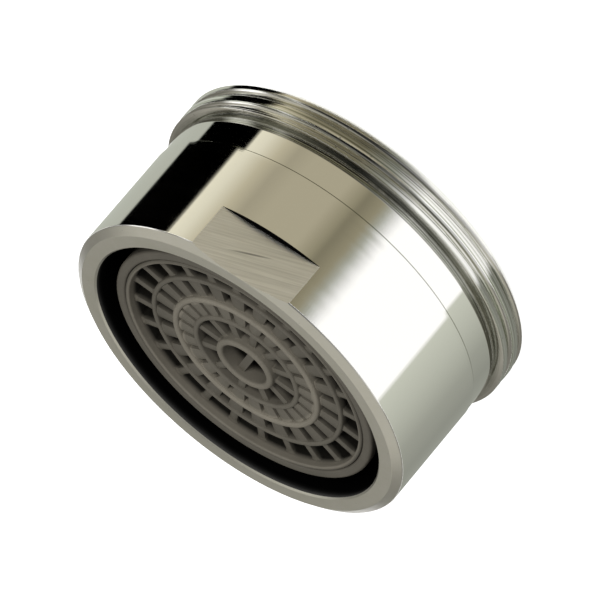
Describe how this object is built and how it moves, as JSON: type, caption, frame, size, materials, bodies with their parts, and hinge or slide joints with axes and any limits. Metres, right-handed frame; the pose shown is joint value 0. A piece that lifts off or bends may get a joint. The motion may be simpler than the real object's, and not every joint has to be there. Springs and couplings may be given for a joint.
{
  "type": "tap aerator",
  "caption": "Screw-in tap aerator: threaded metal sleeve with spanner flats round a plastic insert with a ring grille, sieve and sealing washer.",
  "frame": {"origin": "centre of the sealing washer's free face, which is the plane the part stands on", "axes": "+Z along the axis out of the outlet, so the part stands on its threaded inlet end; the spanner flats face +Y and -Y"},
  "size_m": [0.024, 0.024, 0.0122],
  "materials": {
    "chrome_plate": "polished plating over turned brass",
    "insert_plastic": "dull moulded grey-brown",
    "washer_rubber": "matt black"
  },
  "bodies": {
    "root": {"housing": "chrome_plate", "insert_cup": "insert_plastic", "outlet_grille": "insert_plastic", "lower_grid": "insert_plastic", "upper_grid": "insert_plastic", "jet_plate": "insert_plastic", "strainer": "insert_plastic", "sealing_washer": "washer_rubber"}
  },
  "joints": []
}
